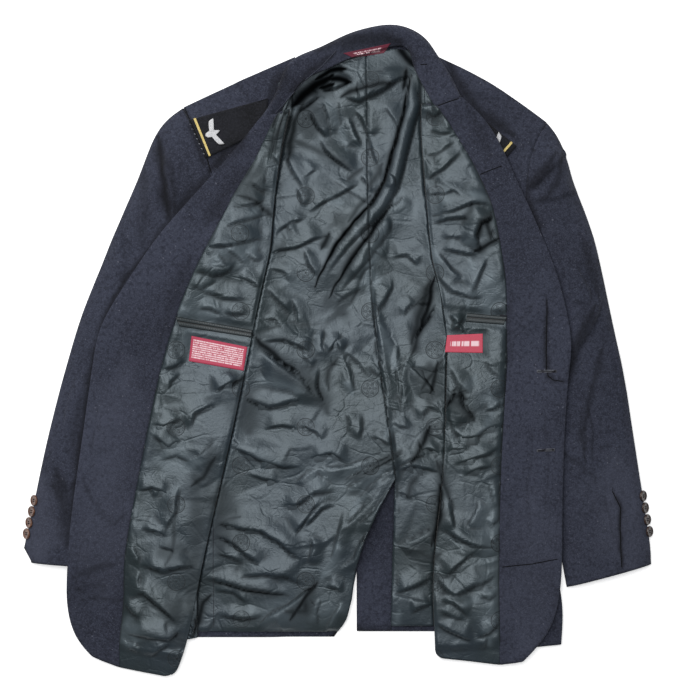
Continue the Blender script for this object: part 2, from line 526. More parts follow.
def seam_dip(points):
    """The centre-back seam lies a little lower than the satin beside it."""
    x, y = points.T
    depth, width, end = 0.14, 1.7, CENTRE_BACK[0][0] + 3
    away = np.abs(x - line_at(CENTRE_BACK, y))
    return 1 - depth * np.exp(-((away / width) ** 2)) * (y > end)


def back_forms(points):
    """The rolls, and the puff of the back's lining against the inner folds of the fronts."""
    height, width = 9, 24
    middle, reach, fade = -40, 300, 80  # y of the puff's middle, and how far it goes up and down
    puff = height * np.exp(-np.clip(between_folds(points), 0, 200) / width)
    puff *= eased((reach - np.abs(points[:, 1] - middle)) / fade)
    return puff + roll_lift(points)


def satin_lift(folds, seed, more):
    """Height of a lining's folds and crumples, and of the forms that more adds."""

    def lift(points):
        broad = 4.6 * facets(points, size=29, stretch=1.7, turn=0.25, seed=seed)
        small = 1.3 * facets(points, size=11, stretch=1.5, turn=-0.5, seed=seed + 5)
        small *= 0.5 + 0.5 * eased(lattice(points, size=60, seed=seed + 9))
        return (fold_lift(points, folds) + broad + small + more(points)) * seam_dip(points)

    return lift


def gathers(side, height):
    """Small pinched pleats where a front's lining is sewn to its facing."""

    def lift(points):
        x, y = points.T
        outer = -beyond(points, side, "border")
        skewed = np.stack([x, y - 0.35 * SIGN[side] * x], 1)
        ridges = eased(0.5 + 1.2 * lattice(skewed / (26, 6.5), 1.0, 61))
        return height * ridges * np.exp(-np.clip(outer, 0, 200) / 9) * eased((outer + 0.5) / 2.5)

    return lift


# The wool's own soft folds.
WOOL_FOLDS = fold_rows([
    (8, 13, -236,276, -230,228, -223,170), (4, -12, -246,236, -240,200, -236,168),
    (4, -18, -296,176, -290,134, -281,92), (4, 18, -316,-64, -326,-110, -334,-152),
    (3, 20, -350,-20, -366,-70, -372,-120), (3, 22, -262,60, -286,10, -300,-40),
    (3, 16, -390,-170, -372,-200, -376,-240), (8, -18, 362,78, 346,40, 322,2, 302,-40),
    (5, 16, 250,208, 284,236, 316,272), (4, 14, 256,194, 296,204, 336,218),
    (4, -14, 238,26, 252,44, 268,70), (4, -14, 316,120, 336,84, 344,50),
    (3, 18, 372,20, 376,-40, 386,-92), (4, -18, 334,-60, 342,-110, 340,-160),
    (4, 14, 360,-180, 366,-226, 372,-274), (3, 14, -150,372, -128,352, -112,328),
    (3, 14, 172,352, 196,344, 228,322), (3, 20, -340,-240, -350,-300, -344,-350),
    (3, 14, 262,-80, 258,-180, 262,-280), (3, 12, 280,-60, 284,-160, 276,-240),
])


def wool_lift(amount):
    """Height of the wool's slow waves, in this amount, and of its soft folds."""

    def lift(points):
        waves = 1.6 * (1 + lattice(points, size=52, seed=71))
        waves += 0.5 * (1 + lattice(points, size=19, seed=74))
        return amount * waves + fold_lift(points, WOOL_FOLDS)

    return lift


def everywhere(points):
    """A mask that is 1 all over."""
    return np.ones(len(points))


FRONT_LIFT, SLEEVE_LIFT = wool_lift(0.7), wool_lift(1.0)


# ---------------------------------------------------------------- materials
class Nodes:
    """A material's node tree, with short calls to add to it."""

    def __init__(self, name):
        self.material = bpy.data.materials.new(name)
        self.material.use_nodes = True
        self.tree = self.material.node_tree
        self.shader = self.tree.nodes["Principled BSDF"]
        self.place = self.add("ShaderNodeTexCoord").outputs["Object"]

    def add(self, kind, sockets=None, **settings):
        """A node with these settings, and with these values or links in its sockets."""
        node = self.tree.nodes.new(kind)
        for key, value in settings.items():
            setattr(node, key, value)
        for key, value in (sockets or {}).items():
            self.feed(node.inputs[key], value)
        return node

    def feed(self, socket, value):
        """Links a socket to this value, or sets it to this constant."""
        if isinstance(value, bpy.types.NodeSocket):
            self.tree.links.new(value, socket)
        else:
            socket.default_value = value

    def calc(self, operation, *values, clamp=False):
        """The outcome of one math node."""
        return self.add("ShaderNodeMath", dict(enumerate(values)), operation=operation,
                        use_clamp=clamp).outputs[0]

    plus, minus = partialmethod(calc, "ADD"), partialmethod(calc, "SUBTRACT")
    times, most = partialmethod(calc, "MULTIPLY"), partialmethod(calc, "MAXIMUM")

    def noise(self, scale, detail, roughness, place=None):
        """Soft noise from 0 to 1, over the object unless a place is given."""
        return self.add("ShaderNodeTexNoise", {
            "Vector": self.place if place is None else place, "Scale": scale, "Detail": detail,
            "Roughness": roughness}).outputs[0]

    def stored(self, name):
        """A value that the mesh holds for each vertex."""
        return self.add("ShaderNodeAttribute", attribute_name=name).outputs["Fac"]

    def ribs(self, turn, axis, sockets):
        """Close straight ribs, turned by this many degrees."""
        slant = self.add("ShaderNodeMapping", {
            "Vector": self.place, "Rotation": (0, 0, math.radians(turn))})
        return self.add("ShaderNodeTexWave", {"Vector": slant.outputs[0], **sockets},
                        wave_type="BANDS", bands_direction=axis).outputs["Fac"]

    def blend(self, share, low, high):
        """A colour between two colours or hex codes."""
        sides = (colour(value) if isinstance(value, str) else value for value in (low, high))
        return self.add("ShaderNodeMix", dict(zip((0, 6, 7), (share, *sides))),
                        data_type="RGBA").outputs[2]

    def steps(self, value, low, high):
        """0 where the value is low, 1 where it is high."""
        return self.add("ShaderNodeMapRange", {0: value, 1: low, 2: high},
                        interpolation_type="SMOOTHSTEP").outputs[0]

    def bump(self, height, strength, distance, under=None):
        """A normal that follows this height, on top of another one if given."""
        sockets = {"Strength": strength, "Distance": distance, "Height": height}
        return self.add("ShaderNodeBump", sockets if under is None else {
            **sockets, "Normal": under}).outputs[0]

    def finish(self, base, roughness, normal, **constants):
        """The material, once its shader has these links and constants."""
        for key, value in {"Base Color": base, "Roughness": roughness, "Normal": normal,
                           **constants}.items():
            self.feed(self.shader.inputs[key.replace("_", " ")], value)
        return self.material


def colour(code):
    """A linear colour from a hex sRGB code."""
    parts = [int(code[k:k + 2], 16) / 255 for k in (0, 2, 4)]
    return (*[p / 12.92 if p <= 0.04045 else ((p + 0.055) / 1.055) ** 2.4 for p in parts], 1)


def cut_place(n):
    """u and v over a piece's cut, each 0 to 1."""
    place = n.add("ShaderNodeUVMap", uv_map="cut").outputs[0]
    parts = n.add("ShaderNodeSeparateXYZ", {0: place})
    return parts.outputs[0], parts.outputs[1]


def band(n, value, low, high, soft):
    """1 where the value lies between low and high."""
    return n.times(n.steps(value, low - soft, low + soft),
                   n.minus(1.0, n.steps(value, high - soft, high + soft)))


def wool_material():
    """Navy serge: fine twill ribs under a short nap, with a little lint."""
    n = Nodes("wool_serge")
    twill = n.ribs(38, "X", {"Scale": 200, "Distortion": 2.2, "Detail": 1})
    fuzz = n.noise(520, 3, 0.75)
    grain = n.noise(210, 2, 0.6)
    base = n.blend(n.steps(n.noise(6, 4, 0.6), 0.32, 0.66), "20222d", "303340")
    base = n.blend(n.times(n.steps(n.noise(46, 3, 0.6), 0.4, 0.7), 0.2), base, "363a48")
    base = n.blend(n.steps(fuzz, 0.38, 0.78), base, "424654")
    base = n.blend(n.times(n.steps(grain, 0.45, 0.7), 0.55), base, "191b24")
    lint = n.steps(n.noise(330, 1, 0.4), 0.755, 0.79)
    base = n.blend(n.times(lint, 0.5), base, "6f717c")
    base = n.blend(n.stored("shade"), n.blend(n.stored("gleam"), base, "5c6070"), "07070b")
    normal = n.bump(n.plus(n.times(twill, 0.5), fuzz), 0.5, 0.0005)
    normal = n.bump(n.noise(75, 4, 0.65), 0.35, 0.002, normal)
    return n.finish(base, 0.9, normal, Sheen_Weight=0.05, Sheen_Roughness=0.5,
                    Specular_IOR_Level=0.2)


def rosette(n, across, down, radius):
    """A plain six-petalled flower in a double ring, repeated in a half-drop. 1 on its lines."""
    parts = n.add("ShaderNodeSeparateXYZ", {0: n.place})
    column = n.calc("DIVIDE", parts.outputs[0], across)
    drop = n.times(n.calc("PINGPONG", n.calc("FLOOR", column), 1.0), 0.5)
    row = n.plus(n.calc("DIVIDE", parts.outputs[1], down), drop)
    x = n.times(n.minus(n.calc("FRACT", column), 0.5), across / radius)
    y = n.times(n.minus(n.calc("FRACT", row), 0.5), down / radius)
    far = n.calc("SQRT", n.plus(n.times(x, x), n.times(y, y)))
    turn = n.calc("COSINE", n.times(n.calc("ARCTAN2", y, x), 6.0))
    petal = n.minus(far, n.calc("MULTIPLY_ADD", turn, 0.16, 0.5))
    lines = n.most(band(n, far, 0.88, 0.98, 0.03), band(n, far, 0.74, 0.78, 0.02))
    lines = n.most(lines, band(n, petal, -0.05, 0.04, 0.025))
    veins = n.times(n.steps(turn, 0.8, 0.95), band(n, far, 0.14, 0.5, 0.03))
    return n.most(n.most(lines, veins), band(n, far, -1.0, 0.12, 0.03))


def satin_material():
    """Green-grey satin: woven flowers, fine dry creases and a soft sheen."""
    n = Nodes("satin_lining")
    base = n.blend(n.steps(n.noise(9, 3, 0.5), 0.35, 0.65), "202930", "1c2527")
    wander = n.add("ShaderNodeTexNoise", {"Vector": n.place, "Scale": 16, "Detail": 2})
    bent = n.add("ShaderNodeVectorMath", {0: wander.outputs["Color"], 1: (0.03, 0.03, 0),
                                          2: n.place}, operation="MULTIPLY_ADD").outputs[0]
    flat = n.add("ShaderNodeMapping", {"Vector": bent, "Scale": (0.62, 1.0, 0.0),
                                       "Rotation": (0, 0, math.radians(-14))}).outputs[0]

    def creases(scale, width, shown):
        """Thin lines between facets, 1 where they are shown."""
        edges = n.add("ShaderNodeTexVoronoi", {"Vector": flat, "Scale": scale},
                      feature="DISTANCE_TO_EDGE").outputs[0]
        return n.times(n.minus(1.0, n.steps(edges, 0.0, width)), shown)

    lines = creases(40, 0.08, n.steps(n.noise(20, 2, 0.5), 0.42, 0.62))
    ticks = creases(105, 0.1, n.steps(n.noise(34, 2, 0.5), 0.5, 0.66))
    worn = n.steps(n.noise(70, 2, 0.6), 0.22, 0.42)
    motif = n.times(rosette(n, 0.087, 0.104, 0.0125), worn)
    thread = n.noise(420, 3, 0.6)
    shade = n.stored("shade")
    gleam = n.times(n.stored("gleam"), n.plus(n.noise(60, 3, 0.6), 0.35), clamp=True)
    base = n.blend(gleam, base, "525c62")
    base = n.blend(n.times(motif, 0.95), base, "090c0e")
    base = n.blend(shade, base, "040506")
    rough = n.plus(n.calc("MULTIPLY_ADD", motif, 0.2, 0.42), n.times(thread, 0.06))
    rough = n.calc("MULTIPLY_ADD", shade, 0.5, rough, clamp=True)
    n.feed(n.shader.inputs["Metallic"], n.steps(shade, 0.5, 1.0))
    normal = n.bump(n.noise(85, 4, 0.62), 0.24, 0.0022)
    normal = n.bump(n.times(lines, -1.0), 0.28, 0.0014, normal)
    normal = n.bump(n.times(ticks, -1.0), 0.22, 0.0008, normal)
    normal = n.bump(n.noise(240, 2, 0.6), 0.36, 0.0009, normal)
    normal = n.bump(n.minus(n.times(thread, 0.5), motif), 0.2, 0.0005, normal)
    return n.finish(base, rough, normal, Sheen_Weight=0.08, Sheen_Roughness=0.4,
                    Specular_IOR_Level=0.75, Specular_Tint=(0.80, 0.92, 1.0, 1), Anisotropic=0.3)


# ---------------------------------------------------------------- cloth from the CAD walls
# The cut of each piece: the rectangle it comes out of, and its own flat area.
Cut = namedtuple("Cut", "width length area rests_on")
CUTS = {
    "back_left": Cut(0.255, 0.785, 0.155, []),
    "back_right": Cut(0.29, 0.79, 0.18, []),
    "front_left": Cut(0.40, 0.82, 0.245, []),
    "front_right": Cut(0.40, 0.84, 0.225, []),
    "facing_left": Cut(0.15, 0.80, 0.08, ["front_left_cloth"]),
    "facing_right": Cut(0.15, 0.80, 0.078, ["front_right_cloth"]),
    "front_lining_left": Cut(0.32, 0.80, 0.185, ["front_left_cloth"]),
    "front_lining_right": Cut(0.32, 0.81, 0.165, ["front_right_cloth"]),
    "back_lining_left": Cut(0.24, 0.78, 0.14, ["back_left_cloth"]),
    "back_lining_right": Cut(0.27, 0.78, 0.175, ["back_right_cloth"]),
    "vent_facing": Cut(0.054, 0.216, 0.0105, ["back_left_cloth"]),
    "collar": Cut(0.41, 0.085, 0.0205, ["back_left_cloth", "back_right_cloth"]),
    "topsleeve_left": Cut(0.19, 0.63, 0.06, []),
    "topsleeve_right": Cut(0.19, 0.64, 0.075, []),
    "undersleeve_left": Cut(0.19, 0.63, 0.057, []),
    "undersleeve_right": Cut(0.19, 0.64, 0.073, []),
}
# target: size of its faces where it shows, mm. mask and lift: where its folds are, how high.
Cloth = namedtuple("Cloth", "slot target mask lift")
PLAIN, FRONT, SLEEVE = (None, None), (everywhere, FRONT_LIFT), (everywhere, SLEEVE_LIFT)
BACK_LINING = Cloth("lining", 2.1, back_mask, satin_lift(BACK_FOLDS, 11, back_forms))
CLOTHS = {
    "back_left": Cloth("wool", 8, *PLAIN), "back_right": Cloth("wool", 8, *PLAIN),
    "front_lining_left": Cloth("lining", 2.1, front_mask("left"),
                               satin_lift(FRONT_FOLDS["left"], 31, gathers("left", 2.4))),
    "front_lining_right": Cloth("lining", 2.1, front_mask("right"),
                                satin_lift(FRONT_FOLDS["right"], 51, gathers("right", 1.0))),
    "back_lining_left": BACK_LINING, "back_lining_right": BACK_LINING,
    "front_left": Cloth("wool", 5, *FRONT), "front_right": Cloth("wool", 5, *FRONT),
    "facing_left": Cloth("wool", 4, *FRONT), "facing_right": Cloth("wool", 4, *FRONT),
    "vent_facing": Cloth("wool", 8, *PLAIN), "collar": Cloth("wool", 6, *PLAIN),
    "topsleeve_left": Cloth("wool", 5, *SLEEVE), "topsleeve_right": Cloth("wool", 5, *SLEEVE),
    "undersleeve_left": Cloth("wool", 8, *PLAIN), "undersleeve_right": Cloth("wool", 8, *PLAIN),
}
WELD = 0.05 * MM  # points nearer than this are one
SHARP = math.radians(60)  # an edge sharper than this is the wall's rim, not a fold
CORNER = math.radians(35)  # a rim that turns more than this has a corner there
LONG = 3 * MM  # only edges longer than this count for a corner


def mesh_of(name):
    """An editable copy of a CAD node's mesh, welded."""
    bm = bmesh.new()
    bm.from_mesh(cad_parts[name].data)
    bmesh.ops.remove_doubles(bm, verts=bm.verts, dist=WELD)
    bmesh.ops.dissolve_degenerate(bm, dist=1e-6, edges=bm.edges)
    bmesh.ops.join_triangles(
        bm, faces=bm.faces, angle_face_threshold=math.radians(35),
        angle_shape_threshold=math.radians(65), topology_influence=1.0)
    bm.normal_update()
    return bm


def crease_rim(bm):
    """Keeps the wall's rim and its corners crisp when the cloth is smoothed."""
    edge_crease = bm.edges.layers.float.new("crease_edge")
    vert_crease = bm.verts.layers.float.new("crease_vert")
    sharp = {edge for edge in bm.edges
             if edge.is_manifold and edge.calc_face_angle(0.0) > SHARP}
    for edge in sharp:
        edge[edge_crease] = 1.0
    for vert in bm.verts:
        rims = [edge for edge in vert.link_edges if edge in sharp and edge.calc_length() > LONG]
        if len(rims) == 2:
            ways = [(edge.other_vert(vert).co - vert.co).normalized() for edge in rims]
            if ways[0].angle(-ways[1]) > CORNER:
                vert[vert_crease] = 1.0


def points_of(verts):
    """The places of vertices, mm, a row for each."""
    return np.array([vert.co.to_tuple() for vert in verts]) / MM


def shade_smooth(mesh):
    """Shades every face smooth."""
    mesh.polygons.foreach_set("use_smooth", [True] * len(mesh.polygons))


def add_object(name, data):
    """A new object of the scene."""
    piece = bpy.data.objects.new(name, data)
    bpy.context.scene.collection.objects.link(piece)
    return piece


def as_object(bm, name):
    """The editable mesh as an object of its own."""
    mesh = bpy.data.meshes.new(name)
    bm.to_mesh(mesh)
    bm.free()
    return add_object(name, mesh)


def mesh_from(name, points, faces, *materials):
    """A mesh from points in metres and the faces between them."""
    mesh = bpy.data.meshes.new(name)
    mesh.from_pydata([tuple(point) for point in points], [], faces)
    for material in materials:
        mesh.materials.append(material)
    return mesh


def surface_of(piece):
    """A piece's faces, ready to be met by a ray."""
    return BVHTree.FromPolygons([vert.co for vert in piece.data.vertices],
                                [polygon.vertices for polygon in piece.data.polygons])


def dress(piece, node, slot):
    """Ties a piece to the body, to the CAD node that it stands for, if any, and to its slot."""
    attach(piece, "root")
    if node is not None:
        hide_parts(node)


def smoothed(bm, levels):
    """The mesh after that many rounds of subdivision, as a new editable mesh."""
    piece = as_object(bm, "smoothing")
    modifier = piece.modifiers.new("subdivision", "SUBSURF")
    modifier.levels = modifier.render_levels = levels
    graph = bpy.context.evaluated_depsgraph_get()
    result = bmesh.new()
    result.from_mesh(piece.evaluated_get(graph).to_mesh())
    mesh = piece.data
    bpy.data.objects.remove(piece)
    bpy.data.meshes.remove(mesh)
    return result


def faces_up(face):
    """Whether a face is on the top of its wall, clear of the floor."""
    return face.normal.z > 0.25 and face.calc_center_median().z > 1.4 * MM


def refined(bm, target):
    """Cuts the long edges of the faces that show until few are much over the target, in mm."""
    for _ in range(5):
        edges = {edge for face in bm.faces if faces_up(face) for edge in face.edges
                 if edge.calc_length() > 1.5 * target * MM}
        if not edges:
            break
        bmesh.ops.subdivide_edges(bm, edges=list(edges), cuts=1, use_grid_fill=True)
    return bm


WALL, SKIN = 3.2 * MM, 0.01 * MM  # the thickest own wall over a spot; a ray's step off a face
ABOVE = 0.2  # metres, higher than everything


def open_upwards(bm):
    """For each vertex, whether only its own wall is over it."""
    tree = BVHTree.FromBMesh(bm)
    up = Vector((0, 0, 1))
    for vert in bm.verts:
        start, clear = vert.co + up * SKIN, True
        for _ in range(4):
            hit = tree.ray_cast(start, up)[0]
            if hit is None:
                break
            if hit.z - vert.co.z > WALL:
                clear = False
                break
            start = hit + up * SKIN
        yield clear


def highest(trees, x, y):
    """Height in metres of the top of these surfaces at a point, None off them."""
    start = Vector((x, y, ABOVE))
    hits = [tree.ray_cast(start, Vector((0, 0, -1)))[0] for tree in trees]
    heights = [hit.z for hit in hits if hit is not None]
    return max(heights) if heights else None


class CrispFold:
    """Height to add near a front's inner fold, so that the cloth turns under in a tight line."""

    ROWS = np.arange(-436, 340, 6)
    INSETS = (11, 15)  # mm from the fold, where its height is taken from
    NEAR = (-6, 14)  # mm from the fold, where the height is added
    SHARE = 0.8  # of the height that is missing there

    def __init__(self, bm, side):
        self.side, self.sign = side, SIGN[side]
        self.tree = BVHTree.FromBMesh(bm)
        level = []
        for y in self.ROWS:
            tops = [highest([self.tree], (line_x(side, "fold", y) + self.sign * inset) * MM, y * MM)
                    for inset in self.INSETS]
            level.append(max((top for top in tops if top is not None), default=np.nan))
        level = np.array(level) / MM
        good = ~np.isnan(level)
        self.level = np.interp(self.ROWS, self.ROWS[good], level[good])

    def lift(self, plan, inset=0.0):
        """The height to add at each point, for a wall that lies this much further in."""
        inner = beyond(plan, self.side, "fold") + inset
        added = np.zeros(len(plan))
        for k in np.flatnonzero((inner > self.NEAR[0]) & (inner < self.NEAR[1])):
            x, y = plan[k]
            top = highest([self.tree], (x + self.sign * inset) * MM, y * MM)
            if top is not None:
                missing = max(np.interp(y, self.ROWS, self.level) - top / MM, 0)
                added[k] = missing * self.SHARE
        return added


def smooth_wall(name, target):
    """A CAD wall with a crisp rim and smooth sides, in faces of about the target size on top."""
    bm = mesh_of(name)
    crease_rim(bm)
    bm = smoothed(bm, 1 if name.startswith("under") else 2)
    bm = refined(bm, 2 * target)
    bm.normal_update()
    crease_rim(bm)
    return smoothed(bm, 1)


def own_edge(tree, y, inside, outside):
    """x where a wall ends at this y, between a point on it and one off it."""
    for _ in range(12):  # halvings, which leave less than 0.02 mm
        middle = (inside + outside) / 2
        if highest([tree], middle * MM, y * MM) is None:
            outside = middle
        else:
            inside = middle
    return inside


def follow_edge(bm, line, sign):
    """Moves a lining's edge at the centre back off the solid's straight rows, onto its line."""
    tree = BVHTree.FromBMesh(bm)
    low, high, fade, depth = -372, -40, 16, 60  # y of the ends, and mm over which a move fades
    rows = np.arange(low, high, 4.0)
    goal = line_at(line, rows)
    own = np.array([own_edge(tree, y, x - sign * 28, x + sign * 22) for y, x in zip(rows, goal)])
    shift = (goal - own) * eased((rows - low) / fade) * eased((high - rows) / fade)
    x, y, _ = points_of(bm.verts).T
    away = sign * (np.interp(y, rows, own) - x)
    moves = np.interp(y, rows, shift, left=0, right=0) * (1 - eased(away / depth))
    for vert, dx in zip(bm.verts, moves):
        vert.co.x += dx * MM


def round_corners(bm):
    """Rounds the corners that the folded cloth has, in plan."""
    points = points_of(bm.verts)[:, :2]
    for corner in CORNERS:
        sides = np.array([corner.first, corner.second], float)
        sides /= np.linalg.norm(sides, axis=1)[:, None]
        inside = corner.radius - (points - (corner.x, corner.y)) @ np.linalg.inv(sides)
        near = (inside > 0).all(axis=1) & (inside < corner.radius + 4).all(axis=1)
        place = inside[near]
        place *= (place.max(axis=1) / np.linalg.norm(place, axis=1))[:, None]
        points[near] = (corner.x, corner.y) + (corner.radius - place) @ sides
    for vert, (x, y) in zip(bm.verts, points):
        vert.co.x, vert.co.y = x * MM, y * MM


def store_shade(mesh, slot, hollows, lights):
    """Stores how much light each spot of a cloth loses and gains, for its material to read."""
    darkest = 0.6 if slot == "lining" else 0.2  # of a groove
    points = points_of(mesh.vertices)
    ends = np.array([edge.vertices[:] for edge in mesh.edges])
    count = np.bincount(ends.ravel(), minlength=len(points))
    level = points[:, 2].copy()
    for _ in range(4):
        total = np.bincount(ends[:, 0], level[ends[:, 1]], len(points))
        total += np.bincount(ends[:, 1], level[ends[:, 0]], len(points))
        level = 0.4 * level + 0.6 * total / count
    groove = eased((level - points[:, 2] - 0.04) / 0.5)
    depth = hollow_depth(points[:, :2], hollows)
    shade = 1 - (1 - darkest * groove) * (1 - depth)
    gleam = hollow_depth(points[:, :2], lights)
    for name, values in (("shade", shade), ("gleam", gleam)):
        layer = mesh.attributes.new(name, "FLOAT", "POINT")
        layer.data.foreach_set("value", values.astype(np.float32))


def grown(bm, step):
    """Moves the walls at the rim outwards, so that no gap shows between neighbouring pieces."""
    bm.normal_update()
    moves = defaultdict(Vector)
    for face in bm.faces:
        if abs(face.normal.z) < 0.5:
            for vert in face.verts:
                moves[vert] += face.normal * face.calc_area()
    for vert, way in moves.items():
        way.z = 0
        if way.length > 0:
            vert.co += way.normalized() * step * MM


CRISP = {}
TALL, ROOM = 34, 12  # mm: above the first, heights are eased so that they add at most the second
GROWTH, SLEEVE_GROWTH = 0.7, 1.4  # mm that a rim moves outwards


def make_cloth(name, cloth):
    """A piece of cloth in the place of a CAD wall, with its folds and its shade."""
    bm = smooth_wall(name, cloth.target)
    if name in BACK_EDGES:
        follow_edge(bm, *BACK_EDGES[name])
    if name.startswith(("front", "facing")):
        round_corners(bm)
    side = name.rsplit("_", 1)[-1]
    if name.startswith("front_lining"):
        CRISP[side] = CrispFold(bm, side)
    if cloth.mask is not None:
        plan = points_of(bm.verts)[:, :2]
        clear = np.fromiter(open_upwards(bm), float, len(bm.verts))
        lift = cloth.mask(plan) * cloth.lift(plan)
        if name.startswith("front_lining"):
            lift += FRONT_LIFT(plan) + CRISP[side].lift(plan)
        elif name.startswith("front"):
            lift += CRISP[side].lift(plan, 1.0)
        for vert, height in zip(bm.verts, lift * clear):
            top = vert.co.z / MM + height
            vert.co.z = (top if top < TALL else TALL + ROOM * math.tanh((top - TALL) / ROOM)) * MM
    grown(bm, SLEEVE_GROWTH if "sleeve" in name else GROWTH)
    piece = as_object(bm, name + "_cloth")
    store_shade(piece.data, cloth.slot, HOLLOWS[cloth.slot] + HOLLOWS.get(name, []),
                LIGHTS.get(cloth.slot, []) + LIGHTS.get(name, []))
    shade_smooth(piece.data)
    return piece


def close_seam(moved, fixed):
    """Brings the edge of one half of the back's lining level with the other's along their seam."""
    low, high = -165, 400  # y of the seam's ends, over the vent and under the collar
    rows = np.arange(low, high, 2.0)
    near, fade = 1.3, 7  # mm from the seam to the edge's own points, and to where the change ends

    def edge(mesh):
        """The mesh's points, how far they are from the seam, and the edge's height at each row."""
        points = points_of(mesh.vertices)
        away = np.abs(points[:, 0] - line_at(CENTRE_BACK, points[:, 1]))
        spots = points[(away < near) & (points[:, 1] > low)]
        return points, away, np.array([
            spots[np.abs(spots[:, 1] - y) < 1.6][:, 2].max(initial=-1) for y in rows])

    goal = edge(fixed)[2]
    points, away, own = edge(moved)
    good = (goal > 0) & (own > 0)
    change = np.interp(points[:, 1], rows[good], (goal - own)[good])
    share = (1 - eased(away / fade)) * (points[:, 1] > low + 5)
    for vert, dz in zip(moved.vertices, change * share):
        vert.co.z += dz * MM


MATERIALS = {"wool": wool_material(), "lining": satin_material()}
DRESSED = {}
for name, cloth in CLOTHS.items():
    piece = make_cloth(name, cloth)
    piece.data.materials.append(MATERIALS[cloth.slot])
    DRESSED[name] = piece
    dress(piece, name, cloth.slot)
    cut = CUTS[name]
    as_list(cut.rests_on or ["floor"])
close_seam(DRESSED["back_lining_left"].data, DRESSED["back_lining_right"].data)

# ---------------------------------------------------------------- trims on the cloth
SURFACES = [surface_of(piece) for piece in DRESSED.values()]


def on_cloth(x, y):
    """Height in metres of the dressed cloth at a point in mm."""
    top = highest(SURFACES, x * MM, y * MM)
    return 0.0 if top is None else top


LIFTED = 0.15  # mm between a cloth and what is laid on it


def patch(name, corners, columns, rows, thick, profile, material, settle=2):
    """A thin piece laid on the cloth. profile gives its extra height across, from 0 to 1."""
    a, b, c, d = (np.array(corner, float) for corner in corners)
    u, v = np.meshgrid(np.linspace(0, 1, columns), np.linspace(0, 1, rows))
    plan = ((1 - u) * (1 - v))[..., None] * a + (u * (1 - v))[..., None] * b
    plan = plan + (u * v)[..., None] * c + ((1 - u) * v)[..., None] * d
    low = np.array([[on_cloth(*point) / MM for point in line] for line in plan])
    for _ in range(settle):
        wide = np.pad(low, 1, mode="edge")
        mean = (wide[:-2, 1:-1] + wide[2:, 1:-1] + wide[1:-1, :-2] + wide[1:-1, 2:]) / 4
        low = np.maximum(low, mean)
    low = low + LIFTED
    high = low + thick + np.vectorize(profile)(u, v)
    points = np.concatenate([np.dstack([plan, high]).reshape(-1, 3),
                             np.dstack([plan, low]).reshape(-1, 3)]) * MM
    grid = np.arange(rows * columns).reshape(rows, columns)
    tops = np.dstack([grid[:-1, :-1], grid[1:, :-1], grid[1:, 1:], grid[:-1, 1:]]).reshape(-1, 4)
    rim = np.concatenate([grid[0], grid[1:, -1], grid[-1, -2::-1], grid[-2:0:-1, 0]])
    after = np.roll(rim, -1)
    sides = np.stack([rim, after, after + grid.size, rim + grid.size], 1)
    faces = np.concatenate([tops, tops[:, ::-1] + grid.size, sides]).tolist()
    mesh = mesh_from(name, points, faces, material)
    layer = mesh.uv_layers.new(name="cut")
    spots = np.tile(np.dstack([u, v]).reshape(-1, 2), (2, 1))
    for loop in mesh.loops:
        layer.data[loop.index].uv = spots[loop.vertex_index]
    shade_smooth(mesh)
    return add_object(name, mesh)


def label_material(name, cloth, rows, dashes, span, fill):
    """A woven label: plain rows of broken dashes in pale thread, and no writing."""
    n = Nodes(name)
    u, v = cut_place(n)
    left, right, top, bottom = span
    place = n.times(n.calc("DIVIDE", n.minus(v, top), bottom - top), rows)
    line, row = n.calc("FRACT", place), n.calc("FLOOR", place)
    inside = n.times(band(n, u, left, right, 0.004), band(n, v, top, bottom, 0.01))
    spot = n.add("ShaderNodeCombineXYZ", {0: n.times(u, dashes), 1: n.times(row, 7.3)})
    breaks = n.noise(1.0, 1, 0.5, spot.outputs[0])
    marks = n.times(band(n, line, 0.18, 0.82, 0.08), n.steps(breaks, fill, fill + 0.05))
    marks = n.times(marks, inside)
    weave = n.noise(1500, 1, 0.5)
    base = n.blend(n.steps(weave, 0.3, 0.7), cloth[0], cloth[1])
    base = n.blend(marks, base, "e6c6cb")
    normal = n.bump(n.plus(n.times(marks, 0.7), weave), 0.35, 0.0003)
    return n.finish(base, 0.55, normal, Sheen_Weight=0.2, Specular_IOR_Level=0.3)


def welt_material():
    """Folded satin of a pocket mouth: a slit between two lips, and the stitches across."""
    n = Nodes("pocket_mouth")
    u, v = cut_place(n)
    slit = band(n, v, 0.41, 0.55, 0.03)
    low = n.steps(v, 0.9, 0.99)
    edge = n.minus(1.0, n.steps(v, 0.02, 0.1))
    sewn = n.most(band(n, v, 0.1, 0.3, 0.03), band(n, v, 0.62, 0.86, 0.03))
    ticks = n.times(n.steps(n.calc("SINE", n.times(u, 190.0)), 0.55, 0.95), sewn)
    dark = n.most(n.most(slit, low), n.times(edge, 0.8))
    base = n.blend(n.times(ticks, 0.7), "2b3336", "14191a")
    base = n.blend(dark, base, "0c0f10")
    height = n.minus(1.0, n.most(dark, n.times(ticks, 0.6)))
    return n.finish(base, 0.5, n.bump(height, 0.6, 0.0008), Specular_IOR_Level=0.5)


def lips(u, v):
    """Height of a pocket mouth's two lips, mm."""
    if v >= 0.96:
        return 0.0
    return 0.9 * math.sin(math.pi * min(1, (v if v < 0.48 else 1 - v) / 0.48))


def no_relief(u, v):
    """A patch that is flat all over."""
    return 0.0


